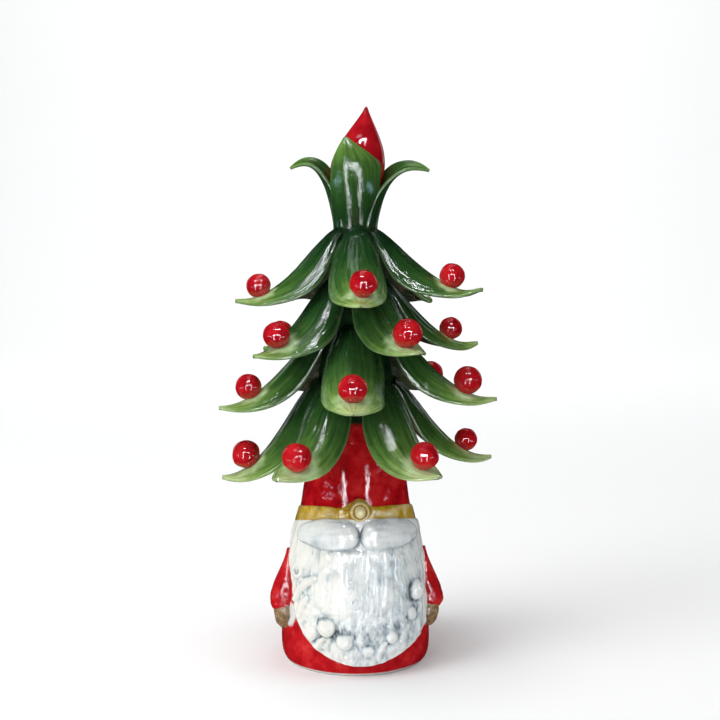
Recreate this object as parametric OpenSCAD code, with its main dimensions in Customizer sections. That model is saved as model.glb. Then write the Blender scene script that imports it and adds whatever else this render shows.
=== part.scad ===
// Glazed stoneware tomte gnome whose tall hat is a tree of clay leaves and berries.
// Millimetres. The origin is the centre of the base on the table, +Z is up, the gnome faces -Y.
// Azimuths are in degrees, 0 at the front and growing towards +X.

/* [Robe] */
// Height of the robe, from the table to the seam under the hat
robe_h = 88; // [72:1:108]
// Widest radius of the robe, just above the hem
hem_r = 45; // [40:0.5:52]
// Height of the widest point of the hem
hem_z = 12; // [8:0.5:16]
// Outer radius of the flat foot ring
foot_r = 40.5; // [36:0.5:44]
// Width of the flat foot ring
foot_w = 9; // [7:0.5:12]
// Thickness of the thrown wall of robe and hat
wall = 4.5; // [3.5:0.5:6]

/* [Hat] */
// Outer radius of robe and hat where they meet
seam_r = 34; // [31:0.5:39]
// Height of the hat cone, from the seam to its open neck
hat_h = 176; // [146:1:212]
// Outer radius of the neck
neck_r = 9.5; // [8.5:0.5:12]
// Width of the gold band
band_w = 11; // [8:0.5:14]
// Thickness of the gold band
band_t = 1.6; // [1.2:0.1:3]
// Backward tilt of the seam and of the gold band over it
band_tilt = 12; // [0:1:14]
// Width of the diamond plaque on the band
plaque_w = 16; // [12:0.5:22]
// Height of the diamond plaque
plaque_h = 15; // [11:0.5:18]
// Diameter of the pearl on the plaque
pearl_d = 6.5; // [5:0.5:9]

/* [Beard and arms] */
// Thickness of the beard on the robe
beard_t = 3.6; // [2.8:0.1:5]
// Half of the beard's width
beard_half_w = 43; // [36:0.5:44]
// Height of the beard's lowest point above the table
beard_low = 6.5; // [4:0.5:12]
// Thickness of a moustache lobe at its fullest
lobe_d = 16.5; // [13:0.5:19]
// Largest diameter of a sleeve
sleeve_d = 20; // [17:0.5:24]
// Width of a mitten
mitten_d = 12.5; // [10:0.5:14]

/* [Tree] */
// Width of a leaf, measured over its curved face
leaf_w = 40.5; // [34:0.5:46]
// Thickness of a leaf along its middle
leaf_t = 4.4; // [3.5:0.1:5.5]
// Thickness of a leaf at its rim
rim_t = 2.4; // [2:0.1:3]
// How far the rims curl down, as a half angle
leaf_curl = 66; // [40:1:72]
// Mean diameter of a berry
berry_d = 16; // [13:0.2:19]
// How far a berry is pressed into its leaf
berry_sink = 2.1; // [0.8:0.1:2.4]

/* [Bud] */
// Height of the bud above the neck
bud_h = 67; // [56:1:80]
// Largest radius of the bud
bud_r = 16; // [14:0.5:19]
// Lean of the bud to the right
bud_lean = 5; // [0:0.5:6]
// Thickness of a calyx leaf
calyx_t = 3.2; // [2.5:0.1:4]
// Air gap between bud and calyx leaves
calyx_gap = 0.6; // [0.3:0.1:1.5]

/* [Hidden] */
neck_z = robe_h + hat_h;
body_turn = 4;         // the robe and the hat's core stand turned to the right under the tree
neck_overlap = 5;      // depth of the bud's stub in the neck
stub_gap = 0.3;        // slip layer between stub and neck

// Each tier: how far its roots are below the neck, radius of the leaf tips, drop from root to tip,
// and its leaves. Each leaf: azimuth, extra drop, extra reach, then the berry's share of berry_d,
// its place along the leaf and its distance to the side of the midrib.
TIERS = [
    [7, 74, 39.5, [
        [3, 0, 0, 0.98, 0.8, 1.4], [73, -2.5, 3, 0.93, 0.77, 0], [141, 4, 0, 0.94, 0.8, 0],
        [211, 3, 0, 0.94, 0.8, 0], [288, 2, -1, 0.9, 0.81, 0]]],
    [35, 76, 40.5, [
        [-48, 2, 0, 0.99, 0.77, 0], [28, -1, -1, 1.06, 0.81, 0], [107, 2, 2.5, 0.89, 0.76, 0],
        [168, 0, 0, 1, 0.8, 0], [230, 6, 0, 0.94, 0.78, 0]]],
    [64, 84, 44.5, [
        [-76, 2, -1.8, 0.98, 0.755, 0], [-1, -4.5, 0, 1.03, 0.8, 0], [80, -1.5, 0.5, 1.06, 0.77, 0],
        [136, -1, 0, 0.97, 0.8, 0], [212, 1, 0, 1, 0.8, 0]]],
    [96, 83, 48, [
        [-81, 9, -3, 1.06, 0.75, 0], [-31, 0, 0, 1.04, 0.79, 4], [35, 0, -2.5, 1.01, 0.79, 0],
        [99, 1, 1, 0.88, 0.765, 0], [158, 0, 4.5, 1, 0.8, 0], [209, 2, 2, 1, 0.8, 0]]]
];
SEGMENTS = 14;         // steps along a leaf
ACROSS = 8;            // steps across a leaf

function leaf_name(tier, i) = str("tier", tier + 1, "_leaf", i + 1);
function berry_name(tier, i) = str("tier", tier + 1, "_berry", i + 1);
LEAVES = [for (k = [0:len(TIERS) - 1]) for (i = [0:len(TIERS[k][3]) - 1]) [k, i]];
CALYX = ["front", "right", "back", "left"];

// ---- Small helpers ----

function smooth(u) = let (v = min(1, max(0, u))) v * v * (3 - 2 * v);
function mix(a, b, u) = a + (b - a) * u;
function bez(p, s) = pow(1 - s, 3) * p[0] + 3 * s * pow(1 - s, 2) * p[1]
    + 3 * s * s * (1 - s) * p[2] + pow(s, 3) * p[3];
function bez_dir(p, s) = let (d = pow(1 - s, 2) * (p[1] - p[0])
    + 2 * s * (1 - s) * (p[2] - p[1]) + s * s * (p[3] - p[2])) d / norm(d);

// ---- Robe and hat ----

// Outer radius of the robe at a height, from the widest point of the hem to the seam.
function robe_r(z) = let (u = max(0, z - hem_z) / (robe_h - hem_z))
    seam_r + (hem_r - seam_r) * (1 - pow(u, 1.9));
// Outer radius of the hat cone at a height.
function hat_r(z) = mix(seam_r, neck_r, (z - robe_h) / hat_h);

ROBE_STEPS = 14;
HEM_STEPS = 6;
// The outline of the robe's outside, moved outwards by grow.
function robe_outline(grow) = concat(
    [for (i = [0:HEM_STEPS]) let (a = 90 * i / HEM_STEPS)
        [foot_r + (hem_r - foot_r) * sin(a) + grow, hem_z * (1 - cos(a))]],
    [for (i = [1:ROBE_STEPS]) let (z = mix(hem_z, robe_h, i / ROBE_STEPS)) [robe_r(z) + grow, z]]
);

// The outside of robe and hat as one solid of revolution, moved outwards by grow.
module figure_solid(grow = 0)
    rotate_extrude($fn = 96)
        polygon(concat([[0, 0]], robe_outline(grow), [[neck_r + grow, neck_z], [0, neck_z]]));

// The hollow wall of robe and hat, with a foot ring turned inwards below.
module figure_shell() {
    inside_r = foot_r - foot_w;
    foot_h = hem_z / 3;
    rotate_extrude($fn = 96)
        polygon(concat(
            robe_outline(0),
            [[neck_r, neck_z], [neck_r - wall, neck_z]],
            [for (i = [ROBE_STEPS:-1:0]) let (z = mix(hem_z, robe_h, i / ROBE_STEPS))
                [robe_r(z) - wall, z]],
            [[inside_r, foot_h], [inside_r, 0]]
        ));
}

// Everything between two heights above the seam's plane, which leans back.
module seam_slab(low, high)
    translate([0, 0, robe_h])
        rotate([-band_tilt, 0, 0])
            translate([-2 * hem_r, -2 * hem_r, low])
                cube([4 * hem_r, 4 * hem_r, high - low]);

module robe_shell() color([0.75, 0.04, 0.06])
    intersection() {
        figure_shell();
        seam_slab(-2 * robe_h, 0);
    }

// The tapering core of the hat, which carries the tree.
module hat_cone() color([0.75, 0.04, 0.06])
    intersection() {
        figure_shell();
        seam_slab(0, 2 * hat_h);
    }

module band_ring()
    intersection() {
        figure_solid(band_t);
        seam_slab(-band_w / 2, band_w / 2);
    }

module hat_band() color([0.72, 0.53, 0.13])
    difference() {
        band_ring();
        figure_solid();
    }

// Height of the band's middle at the front.
front_z = robe_h + seam_r * tan(band_tilt);

module plaque_solid()
    intersection() {
        figure_solid(2 * band_t);
        translate([plaque_x, 0, front_z])
            rotate([90, 0, 0])
                linear_extrude(2 * hem_r)
                    polygon([[plaque_w / 2, 0], [0, plaque_h / 2], [-plaque_w / 2, 0], [0, -plaque_h / 2]]);
    }
plaque_x = 0.4; // the plaque's distance to the right of the middle

module band_plaque() color([0.76, 0.58, 0.18])
    difference() {
        plaque_solid();
        figure_solid();
        band_ring();
    }

module band_pearl() color([0.9, 0.78, 0.45])
    difference() {
        translate([plaque_x, -hat_r(front_z) - 2 * band_t, front_z]) sphere(d = pearl_d, $fn = 48);
        figure_solid(2 * band_t);
    }

// ---- Beard and moustache ----

beard_top = robe_h + hem_z; // above the band, which trims it
// The beard's outline in the X-Z plane: half an ellipse below, straight sides above.
beard_mid = beard_low + 0.7 * beard_half_w;
function beard_outline() = concat(
    [for (a = [180:10:360]) [beard_half_w * cos(a), beard_mid + (beard_mid - beard_low) * sin(a)]],
    [[beard_half_w - 1, beard_top], [-beard_half_w + 1, beard_top]]
);

module beard_prism()
    rotate([90, 0, 0])
        linear_extrude(2 * hem_r)
            polygon(beard_outline());

module beard_solid()
    intersection() {
        figure_solid(beard_t);
        beard_prism();
        seam_slab(-2 * robe_h, -band_w / 2);
    }

module beard() color([0.85, 0.87, 0.88])
    difference() {
        beard_solid();
        figure_solid();
        plaque_solid();
    }

// Curls: azimuth, height, diameter.
CURLS = [[-60, 54, 10], [63, 50, 11], [-28, 24, 13], [-9, 17, 12], [25, 21, 9]];

module beard_curls() color([0.88, 0.9, 0.91])
    difference() {
        for (c = CURLS)
            rotate([0, 0, c[0]])
                translate([0, -robe_r(c[1]) - beard_t, c[1]])
                    sphere(d = c[2], $fn = 48);
        figure_solid(beard_t);
    }

// One lobe, from near the middle to the cheek. Each ball: azimuth, height over the middle, size share.
LOBE = [[11, 0, 0.96], [32, 0, 1], [60, 0, 0.58]];
lobe_z = robe_h - 5.5;

module lobe(side)
    difference() {
        hull()
            for (b = LOBE)
                rotate([0, 0, side * b[0]])
                    translate([0, -robe_r(lobe_z) - 0.5, lobe_z + b[1]])
                        sphere(d = lobe_d * b[2], $fn = 28);
        figure_solid();
        beard_solid();
        band_ring();
        plaque_solid();
        band_pearl();
        seam_slab(-band_w / 2, 2 * band_w);
        translate([side < 0 ? -middle_gap : -2 * hem_r, -2 * hem_r, 0])
            cube([2 * hem_r + middle_gap, 4 * hem_r, 2 * robe_h]);
    }
middle_gap = 0.4; // half of the parting between the lobes

module moustache_left() color([0.86, 0.88, 0.89]) lobe(-1);
module moustache_right() color([0.86, 0.88, 0.89]) lobe(1);

// ---- Arms ----

arm_az = 80;
cuff_z = 38;
shoulder_z = 70;

module sleeve_hull(side)
    rotate([0, 0, side * arm_az])
        hull() {
            translate([0, -robe_r(cuff_z) - 1.5, cuff_z + 1]) sphere(d = sleeve_d * 0.82, $fn = 24);
            translate([0, -robe_r(cuff_z) + 2, cuff_z + 8]) sphere(d = sleeve_d, $fn = 24);
            translate([0, -robe_r(shoulder_z) + 3, shoulder_z]) sphere(d = sleeve_d * 0.5, $fn = 24);
        }

module sleeve(side)
    difference() {
        sleeve_hull(side);
        figure_solid();
        beard_solid();
    }

module mitten(side)
    difference() {
        rotate([0, 0, side * (arm_az - 4)])
            hull() {
                translate([0, -robe_r(cuff_z) - 1, cuff_z - 6]) sphere(d = mitten_d, $fn = 24);
                translate([0, -robe_r(cuff_z) + 0.5, cuff_z - 14]) sphere(d = mitten_d * 0.62, $fn = 24);
            }
        sleeve_hull(side);
        figure_solid();
        beard_solid();
    }

module sleeve_left() color([0.75, 0.04, 0.06]) sleeve(-1);
module sleeve_right() color([0.75, 0.04, 0.06]) sleeve(1);
module mitten_left() color([0.42, 0.3, 0.19]) mitten(-1);
module mitten_right() color([0.42, 0.3, 0.19]) mitten(1);

// ---- Leaves ----

// One ring of points round a curved slab. The midrib runs in the radius-height plane; the
// section is an arc of half width w and half angle c that curls away from the normal n.
function ring(path, s, w, c, t_mid, t_rim, lean) =
    let (m = bez(path, s), d = bez_dir(path, s), n = [-d[1], d[0]], bend = w / (c * PI / 180),
         at = function(u, side) let (
             half_t = side * mix(t_rim, t_mid, 1 - u * u) / 2, a = c * u,
             across = (bend + half_t) * sin(a), up = (bend + half_t) * cos(a) - bend)
             [across + lean * s * s, -(m[0] + n[0] * up), m[1] + n[1] * up])
    concat([for (j = [0:ACROSS]) at(2 * j / ACROSS - 1, 1)],
           [for (j = [ACROSS:-1:0]) at(2 * j / ACROSS - 1, -1)]);

// A closed solid from rings of equal length.
module skin(rings) {
    n = len(rings[0]);
    last = len(rings) - 1;
    points = [for (r = rings) for (p = r) p];
    sides = [for (i = [0:last - 1]) for (j = [0:n - 1]) let (
        a = i * n + j, b = i * n + (j + 1) % n) each [[a, b, b + n], [a, b + n, a + n]]];
    // A ring's two ends are capped by strips between its upper and its lower half.
    strip = [for (j = [0:n / 2 - 2]) each [[j, n - 1 - j, j + 1], [j + 1, n - 1 - j, n - 2 - j]]];
    caps = concat([for (f = strip) f],
                  [for (f = strip) [f[2] + last * n, f[1] + last * n, f[0] + last * n]]);
    polyhedron(points, concat(sides, caps), convexity = 4);
}

// Half width of a tree leaf along its length: narrow root, wide middle, pointed tip.
function leaf_half(s, root_w) = s < 0.5
    ? mix(root_w, leaf_w / 2, s + smooth(2 * s) / 2)
    : mix(0.07, 1, pow(max(0, 1 - pow(2 * s - 1, 2.3)), 0.9)) * leaf_w / 2;
// Half angle of a tree leaf's section along its length.
function leaf_angle(s, root_a) = s < 0.5
    ? mix(root_a, leaf_curl, smooth(s / 0.5))
    : mix(leaf_curl, 0.31 * leaf_curl, smooth(2 * s - 1));

// Half of the smallest angle between neighbours in a tier.
function half_pitch(list) = min([for (i = [0:len(list) - 1]) let (
    step = list[(i + 1) % len(list)][0] - list[i][0]) (step <= 0 ? step + 360 : step)]) / 2;
root_clear = 1.5;      // angle kept free beside each root
root_sink = 0.6;       // how far the midrib starts inside the cone

function root_z(tier) = neck_z - TIERS[tier][0];
function root_r(tier) = hat_r(root_z(tier)) - root_sink;
// The midrib shoots out from the cone, dives, and levels out towards its tip.
function leaf_path(tier, i) = let (
    r0 = root_r(tier), z0 = root_z(tier),
    drop = TIERS[tier][2] + TIERS[tier][3][i][1],
    reach = TIERS[tier][1] + TIERS[tier][3][i][2] - r0)
    [[r0, z0], [r0 + 0.2 * reach, z0 - 0.1 * drop],
     [r0 + 0.5 * reach, z0 - 1.03 * drop], [r0 + reach, z0 - drop]];

module leaf_slab(tier, i) {
    path = leaf_path(tier, i);
    list = TIERS[tier][3];
    root_a = half_pitch(list) - root_clear;
    root_w = (root_r(tier) + root_sink) * root_a * PI / 180;
    rotate([0, 0, list[i][0]])
        skin([for (k = [0:SEGMENTS]) let (s = k / SEGMENTS, thin = 1 - 0.5 * pow(s, 4))
            ring(path, s, leaf_half(s, root_w), leaf_angle(s, root_a), leaf_t * thin, rim_t * thin, 0)]);
}

leaf_gap = 0.2;        // gap between neighbours where wide leaves meet

// Everything on one side of an upright plane through the axis.
module beyond(azimuth, side)
    rotate([0, 0, azimuth])
        translate([side > 0 ? -leaf_gap / 2 : leaf_gap / 2 - 8 * hem_r, -4 * hem_r, 0])
            cube([8 * hem_r, 8 * hem_r, 2 * (robe_h + hat_h)]);

// A tree leaf stops at the cone and halfway to its neighbours.
module tree_leaf(tier, i) color([0.13, 0.33, 0.12]) {
    list = TIERS[tier][3];
    last = len(list) - 1;
    after = i == last ? list[0][0] + 360 : list[i + 1][0];
    before = i == 0 ? list[last][0] - 360 : list[i - 1][0];
    difference() {
        leaf_slab(tier, i);
        figure_solid();
        beyond((list[i][0] + after) / 2, 1);
        beyond((list[i][0] + before) / 2, -1);
    }
}

module berry(tier, i) color([0.72, 0.03, 0.05]) {
    spec = TIERS[tier][3][i];
    d = berry_d * spec[3];
    m = bez(leaf_path(tier, i), spec[4]);
    dir = bez_dir(leaf_path(tier, i), spec[4]);
    up = leaf_t / 2 - berry_sink + d / 2;
    difference() {
        rotate([0, 0, spec[0]])
            translate([spec[5], -(m[0] - dir[1] * up), m[1] + dir[0] * up])
                sphere(d = d, $fn = 48);
        leaf_slab(tier, i);
    }
}

// ---- Bud and calyx ----

BUD_STEPS = 16;
// Radius of the bud at a share of its height: a full belly that is drawn out to a thin tip.
function bud_profile(u) = u < 0.45
    ? mix(neck_r, bud_r, sin(90 * u / 0.45))
    : mix(0.06, 1, pow(cos(90 * (u - 0.45) / 0.55), 1.25)) * bud_r;

// The turned body of the bud, moved outwards by grow.
module bud_body(grow = 0)
    translate([0, 0, neck_z - 1])
        rotate([0, bud_lean, 0])
            rotate_extrude($fn = 64)
                polygon(concat([[0, -grow]],
                    [for (k = [0:BUD_STEPS]) [bud_profile(k / BUD_STEPS) + grow, bud_h * k / BUD_STEPS]],
                    [[0, bud_h + grow]]));

// The bud sits on the neck and has a stub that plugs it.
module bud() color([0.72, 0.03, 0.05])
    difference() {
        union() {
            bud_body();
            translate([0, 0, neck_z - neck_overlap])
                cylinder(h = neck_overlap + 2, r = neck_r - wall - stub_gap, $fn = 48);
        }
        difference() {
            figure_solid();
            translate([0, 0, neck_z - 2 * neck_overlap])
                cylinder(h = 3 * neck_overlap, r = neck_r - wall, $fn = 48);
        }
    }

calyx_z = neck_z - 3.4; // height of the calyx roots
hug_r = bud_r + calyx_gap + calyx_t / 2;

// Midribs of the calyx leaves: one that stays against the bud, one that arches outwards.
function hug_path(h) = [[neck_r + calyx_t / 2 - 0.3, calyx_z], [neck_r + 5, calyx_z + 0.3 * h],
                        [hug_r + 5.5, calyx_z + 0.62 * h], [hug_r - 2.6, calyx_z + h]];
function arch_path(out, h) = [[neck_r + calyx_t / 2 + 0.9, calyx_z], [neck_r + 5 + 0.03 * out, calyx_z + 0.83 * h],
                              [neck_r + 0.42 * out, calyx_z + 1.3 * h], [neck_r + out, calyx_z + h]];

// Calyx leaf: azimuth, midrib, half width, section half angle at root and at tip, sideways lean.
function calyx_spec(side) =
    side == "front" ? [4, hug_path(50), 16, 48, 46, -7]
    : side == "back" ? [182, hug_path(44), 15, 48, 46, 4]
    : side == "left" ? [-92, arch_path(29, 33), 11, 46, 24, 0]
    : [88, arch_path(34, 31.5), 11, 46, 24, 0];

module calyx_slab(side) {
    spec = calyx_spec(side);
    root_w = (neck_r + calyx_t / 2) * 44 * PI / 180;
    rotate([0, 0, spec[0]])
        skin([for (k = [0:SEGMENTS]) let (s = k / SEGMENTS,
            w = s < 0.5 ? mix(root_w, spec[2], smooth(s / 0.5))
                : mix(0.08, 1, pow(1 - pow((s - 0.5) / 0.5, 2.4), 0.8)) * spec[2])
            ring(spec[1], s, w, -mix(spec[3], spec[4], smooth(s)), calyx_t, calyx_t * 0.7, spec[5])]);
}

// A calyx leaf clears the bud. The two at the sides also give way to those in front and behind.
module calyx_leaf(side) color([0.15, 0.36, 0.14])
    difference() {
        calyx_slab(side);
        figure_solid();
        bud_body(calyx_gap);
        if (side == "left" || side == "right")
            for (other = ["front", "back"]) calyx_slab(other);
    }

// ---- Assembly ----

rotate([0, 0, body_turn]) robe_shell();
rotate([0, 0, body_turn]) hat_cone();
rotate([0, 0, body_turn]) hat_band();
rotate([0, 0, body_turn]) band_plaque();
rotate([0, 0, body_turn]) band_pearl();
rotate([0, 0, body_turn]) beard();
rotate([0, 0, body_turn]) beard_curls();
rotate([0, 0, body_turn]) moustache_left();
rotate([0, 0, body_turn]) moustache_right();
rotate([0, 0, body_turn]) sleeve_left();
rotate([0, 0, body_turn]) sleeve_right();
rotate([0, 0, body_turn]) mitten_left();
rotate([0, 0, body_turn]) mitten_right();
bud();
for (side = CALYX)
    calyx_leaf(side);
for (l = LEAVES) {
    tree_leaf(l[0], l[1]);
    berry(l[0], l[1]);
}
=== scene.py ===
"""The looks of the glazed gnome with the tree hat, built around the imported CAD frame.

Lengths inside the builders are millimetres in the frame's axes and become metres in add_piece().
Azimuths are degrees, 0 at the front (-Y) and growing towards +X.
"""

import math

import bpy
import numpy as np
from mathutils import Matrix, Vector

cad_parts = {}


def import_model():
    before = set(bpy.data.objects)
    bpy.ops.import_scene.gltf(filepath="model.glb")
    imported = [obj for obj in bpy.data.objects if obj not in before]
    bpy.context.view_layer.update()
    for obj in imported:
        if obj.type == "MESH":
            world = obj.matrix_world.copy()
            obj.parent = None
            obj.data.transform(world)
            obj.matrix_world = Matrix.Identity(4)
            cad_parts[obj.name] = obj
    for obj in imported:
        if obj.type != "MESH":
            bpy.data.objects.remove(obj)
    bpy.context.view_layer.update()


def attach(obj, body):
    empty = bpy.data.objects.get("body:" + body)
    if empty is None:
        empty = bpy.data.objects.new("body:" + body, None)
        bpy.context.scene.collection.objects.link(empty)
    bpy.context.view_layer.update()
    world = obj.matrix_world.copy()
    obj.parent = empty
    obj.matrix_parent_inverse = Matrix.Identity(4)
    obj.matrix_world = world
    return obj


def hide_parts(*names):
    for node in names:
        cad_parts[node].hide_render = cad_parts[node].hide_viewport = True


MM = 0.001
SIDE_NAME = {-1: "left", 1: "right"}

# ---- Sizes shared with the CAD model, in millimetres ----

ROBE_H = 88.0
HEM_R = 45.0
HEM_Z = 12.0
FOOT_R = 40.5
WALL = 4.5
SEAM_R = 34.0
HAT_H = 176.0
NECK_R = 9.5
NECK_Z = ROBE_H + HAT_H
BAND_T = 1.6
BAND_TILT = math.radians(12)
LEAF_W = 40.5
LEAF_T = 4.4
RIM_T = 2.4
LEAF_CURL = 66.0
BERRY_D = 16.0
BERRY_SINK = 2.1
ROOT_CLEAR = 1.5
BUD_R = 16.0
CALYX_T = 3.2
CALYX_Z = NECK_Z - 3.4
BODY_TURN = 4.0

# Each tier: root below the neck, radius of the tips, drop, leaves. Each leaf: azimuth, extra drop,
# extra reach, berry's share of BERRY_D, its place along the leaf, its distance beside the midrib.
TIERS = [
    (7, 74, 39.5, [
        (3, 0, 0, 0.98, 0.8, 1.4), (73, -2.5, 3, 0.93, 0.77, 0), (141, 4, 0, 0.94, 0.8, 0),
        (211, 3, 0, 0.94, 0.8, 0), (288, 2, -1, 0.9, 0.81, 0)]),
    (35, 76, 40.5, [
        (-48, 2, 0, 0.99, 0.77, 0), (28, -1, -1, 1.06, 0.81, 0), (107, 2, 2.5, 0.89, 0.76, 0),
        (168, 0, 0, 1, 0.8, 0), (230, 6, 0, 0.94, 0.78, 0)]),
    (64, 84, 44.5, [
        (-76, 2, -1.8, 0.98, 0.755, 0), (-1, -4.5, 0, 1.03, 0.8, 0), (80, -1.5, 0.5, 1.06, 0.77, 0),
        (136, -1, 0, 0.97, 0.8, 0), (212, 1, 0, 1, 0.8, 0)]),
    (96, 83, 48, [
        (-81, 9, -3, 1.06, 0.75, 0), (-31, 0, 0, 1.04, 0.79, 4), (35, 0, -2.5, 1.01, 0.79, 0),
        (99, 1, 1, 0.88, 0.765, 0), (158, 0, 4.5, 1, 0.8, 0), (209, 2, 2, 1, 0.8, 0)]),
]


# ---- Mathematics ----

def smooth(v):
    v = np.clip(v, 0, 1)
    return v * v * (3 - 2 * v)


def mix(a, b, u):
    return a + (b - a) * u


def circle(count):
    """Angles of count points round a circle, in radians."""
    return np.linspace(0, 2 * np.pi, count, endpoint=False)


def bump(x, centre, width):
    """A soft bell of height 1 at centre."""
    return np.exp(-(((x - centre) / width) ** 2))


def lattice(ix, iy, iz, seed):
    """A repeatable pseudo-random number from 0 to 1 for each whole-number point."""
    n = (ix * 374761393 + iy * 668265263 + iz * 2147483647 + seed * 1274126177) & 0xFFFFFFFF
    n = ((n ^ (n >> 13)) * 1103515245) & 0xFFFFFFFF
    return ((n ^ (n >> 16)) & 0xFFFF) / 65535.0


def noise(x, y, z=0.0, seed=0):
    """Smooth value noise from -1 to 1 on arrays."""
    x, y, z = np.broadcast_arrays(np.asarray(x, float), np.asarray(y, float), np.asarray(z, float))
    cell = [np.floor(v).astype(np.int64) for v in (x, y, z)]
    f = [smooth(v - c) for v, c in zip((x, y, z), cell)]
    total = np.zeros(x.shape)
    for dx in (0, 1):
        for dy in (0, 1):
            for dz in (0, 1):
                w = (f[0] if dx else 1 - f[0]) * (f[1] if dy else 1 - f[1]) * (f[2] if dz else 1 - f[2])
                total += w * lattice(cell[0] + dx, cell[1] + dy, cell[2] + dz, seed)
    return 2 * total - 1


def fbm(x, y, z=0.0, seed=0, octaves=3):
    total, share = 0.0, 1.0
    for k in range(octaves):
        total = total + share * noise(x * 2 ** k, y * 2 ** k, z * 2 ** k, seed + 17 * k)
        share *= 0.5
    return total / 1.75


def bezier(points, s):
    p = np.asarray(points, float)
    s = np.asarray(s, float)[..., None]
    return (1 - s) ** 3 * p[0] + 3 * s * (1 - s) ** 2 * p[1] + 3 * s * s * (1 - s) * p[2] + s ** 3 * p[3]


def bezier_dir(points, s):
    p = np.asarray(points, float)
    s = np.asarray(s, float)[..., None]
    d = (1 - s) ** 2 * (p[1] - p[0]) + 2 * s * (1 - s) * (p[2] - p[1]) + s * s * (p[3] - p[2])
    return d / np.linalg.norm(d, axis=-1, keepdims=True)


def turn_z(points, degrees):
    a = math.radians(degrees)
    c, s = math.cos(a), math.sin(a)
    p = np.asarray(points, float)
    return np.stack([p[..., 0] * c - p[..., 1] * s, p[..., 0] * s + p[..., 1] * c, p[..., 2]], -1)


def around(radius, azimuth, z):
    """A point at a radius, an azimuth in radians and a height."""
    return np.stack([radius * np.sin(azimuth), -radius * np.cos(azimuth), z + 0 * radius], -1)


def robe_r(z):
    u = np.clip((np.asarray(z, float) - HEM_Z) / (ROBE_H - HEM_Z), 0, 1)
    return SEAM_R + (HEM_R - SEAM_R) * (1 - u ** 1.9)


def hat_r(z):
    return mix(SEAM_R, NECK_R, (np.asarray(z, float) - ROBE_H) / HAT_H)


def body_r(z):
    """The figure's outer radius, robe below and hat above."""
    z = np.asarray(z, float)
    return np.where(z < ROBE_H, robe_r(z), hat_r(z))


# ---- Mesh making ----

PIECES = []


def add_piece(name, points, faces, material, nodes, values=None):
    """A smooth mesh piece that rides on the figure and stands for its CAD nodes."""
    mesh = bpy.data.meshes.new(name)
    mesh.from_pydata((np.asarray(points, float) * MM).tolist(), [], faces)
    mesh.validate()
    mesh.polygons.foreach_set("use_smooth", [True] * len(mesh.polygons))
    for key, data in (values or {}).items():
        attribute = mesh.attributes.new(key, "FLOAT", "POINT")
        attribute.data.foreach_set("value", np.asarray(data, np.float32).ravel())
    mesh.materials.append(material)
    piece = bpy.data.objects.new(name, mesh)
    bpy.context.scene.collection.objects.link(piece)
    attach(piece, "root")
    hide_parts(*nodes)
    PIECES.append(piece)
    return piece


def tube_faces(rows, columns, flip=False, caps=True):
    """Faces of a closed skin made of rows of points, each row a loop."""
    i, j = np.meshgrid(np.arange(rows - 1), np.arange(columns), indexing="ij")
    a = i * columns + j
    b = i * columns + (j + 1) % columns
    quads = np.stack([a, b, b + columns, a + columns], -1).reshape(-1, 4)
    if flip:
        quads = quads[:, ::-1]
    faces = quads.tolist()
    if caps:
        first = list(range(columns))
        last = [(rows - 1) * columns + k for k in range(columns)]
        faces.append(first if flip else first[::-1])
        faces.append(last[::-1] if flip else last)
    return faces


def ring_faces(rows, columns):
    """Faces of a hollow wall: a skin whose last row of points joins up with its first."""
    faces = tube_faces(rows, columns, caps=False)
    last = (rows - 1) * columns
    faces += [[last + j, last + (j + 1) % columns, (j + 1) % columns, j] for j in range(columns)]
    return faces


# ---- Materials ----

def new_material(name):
    material = bpy.data.materials.new(name)
    material.use_nodes = True
    tree = material.node_tree
    tree.nodes.clear()
    shader = tree.nodes.new("ShaderNodeBsdfPrincipled")
    output = tree.nodes.new("ShaderNodeOutputMaterial")
    tree.links.new(shader.outputs["BSDF"], output.inputs["Surface"])
    return material, tree, shader


def add_node(tree, kind, **settings):
    node = tree.nodes.new(kind)
    for key, value in settings.items():
        if key in node.inputs:
            node.inputs[key].default_value = value
        else:
            setattr(node, key, value)
    return node


def place(tree, scale=(1, 1, 1)):
    """Object coordinates in millimetres, stretched by scale."""
    coords = tree.nodes.new("ShaderNodeTexCoord")
    mapping = add_node(tree, "ShaderNodeMapping")
    mapping.inputs["Scale"].default_value = [1000 * v for v in scale]
    tree.links.new(coords.outputs["Object"], mapping.inputs["Vector"])
    return mapping.outputs["Vector"]


def cloud(tree, vector, scale, detail=3.0, roughness=0.55):
    node = add_node(tree, "ShaderNodeTexNoise")
    node.inputs["Scale"].default_value = scale
    node.inputs["Detail"].default_value = detail
    node.inputs["Roughness"].default_value = roughness
    tree.links.new(vector, node.inputs["Vector"])
    return node.outputs["Fac"]


def attribute(tree, name):
    node = add_node(tree, "ShaderNodeAttribute", attribute_name=name)
    return node.outputs["Fac"]


def ramp(tree, value, stops):
    """A colour ramp. stops: (position, (r, g, b))."""
    node = tree.nodes.new("ShaderNodeValToRGB")
    elements = node.color_ramp.elements
    while len(elements) > 1:
        elements.remove(elements[-1])
    elements[0].position = stops[0][0]
    elements[0].color = (*stops[0][1], 1)
    for position, colour in stops[1:]:
        elements.new(position).color = (*colour, 1)
    tree.links.new(value, node.inputs["Fac"])
    return node.outputs["Color"]


def grey(tree, value, low, high):
    """value stretched so that low becomes 0 and high becomes 1, clamped."""
    node = add_node(tree, "ShaderNodeMapRange", clamp=True)
    node.inputs["From Min"].default_value = low
    node.inputs["From Max"].default_value = high
    tree.links.new(value, node.inputs["Value"])
    return node.outputs["Result"]


def math_node(tree, operation, a, b=None):
    node = add_node(tree, "ShaderNodeMath", operation=operation)
    for socket, value in zip(node.inputs, (a, b)):
        if value is None:
            continue
        if isinstance(value, (int, float)):
            socket.default_value = value
        else:
            tree.links.new(value, socket)
    return node.outputs["Value"]


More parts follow.
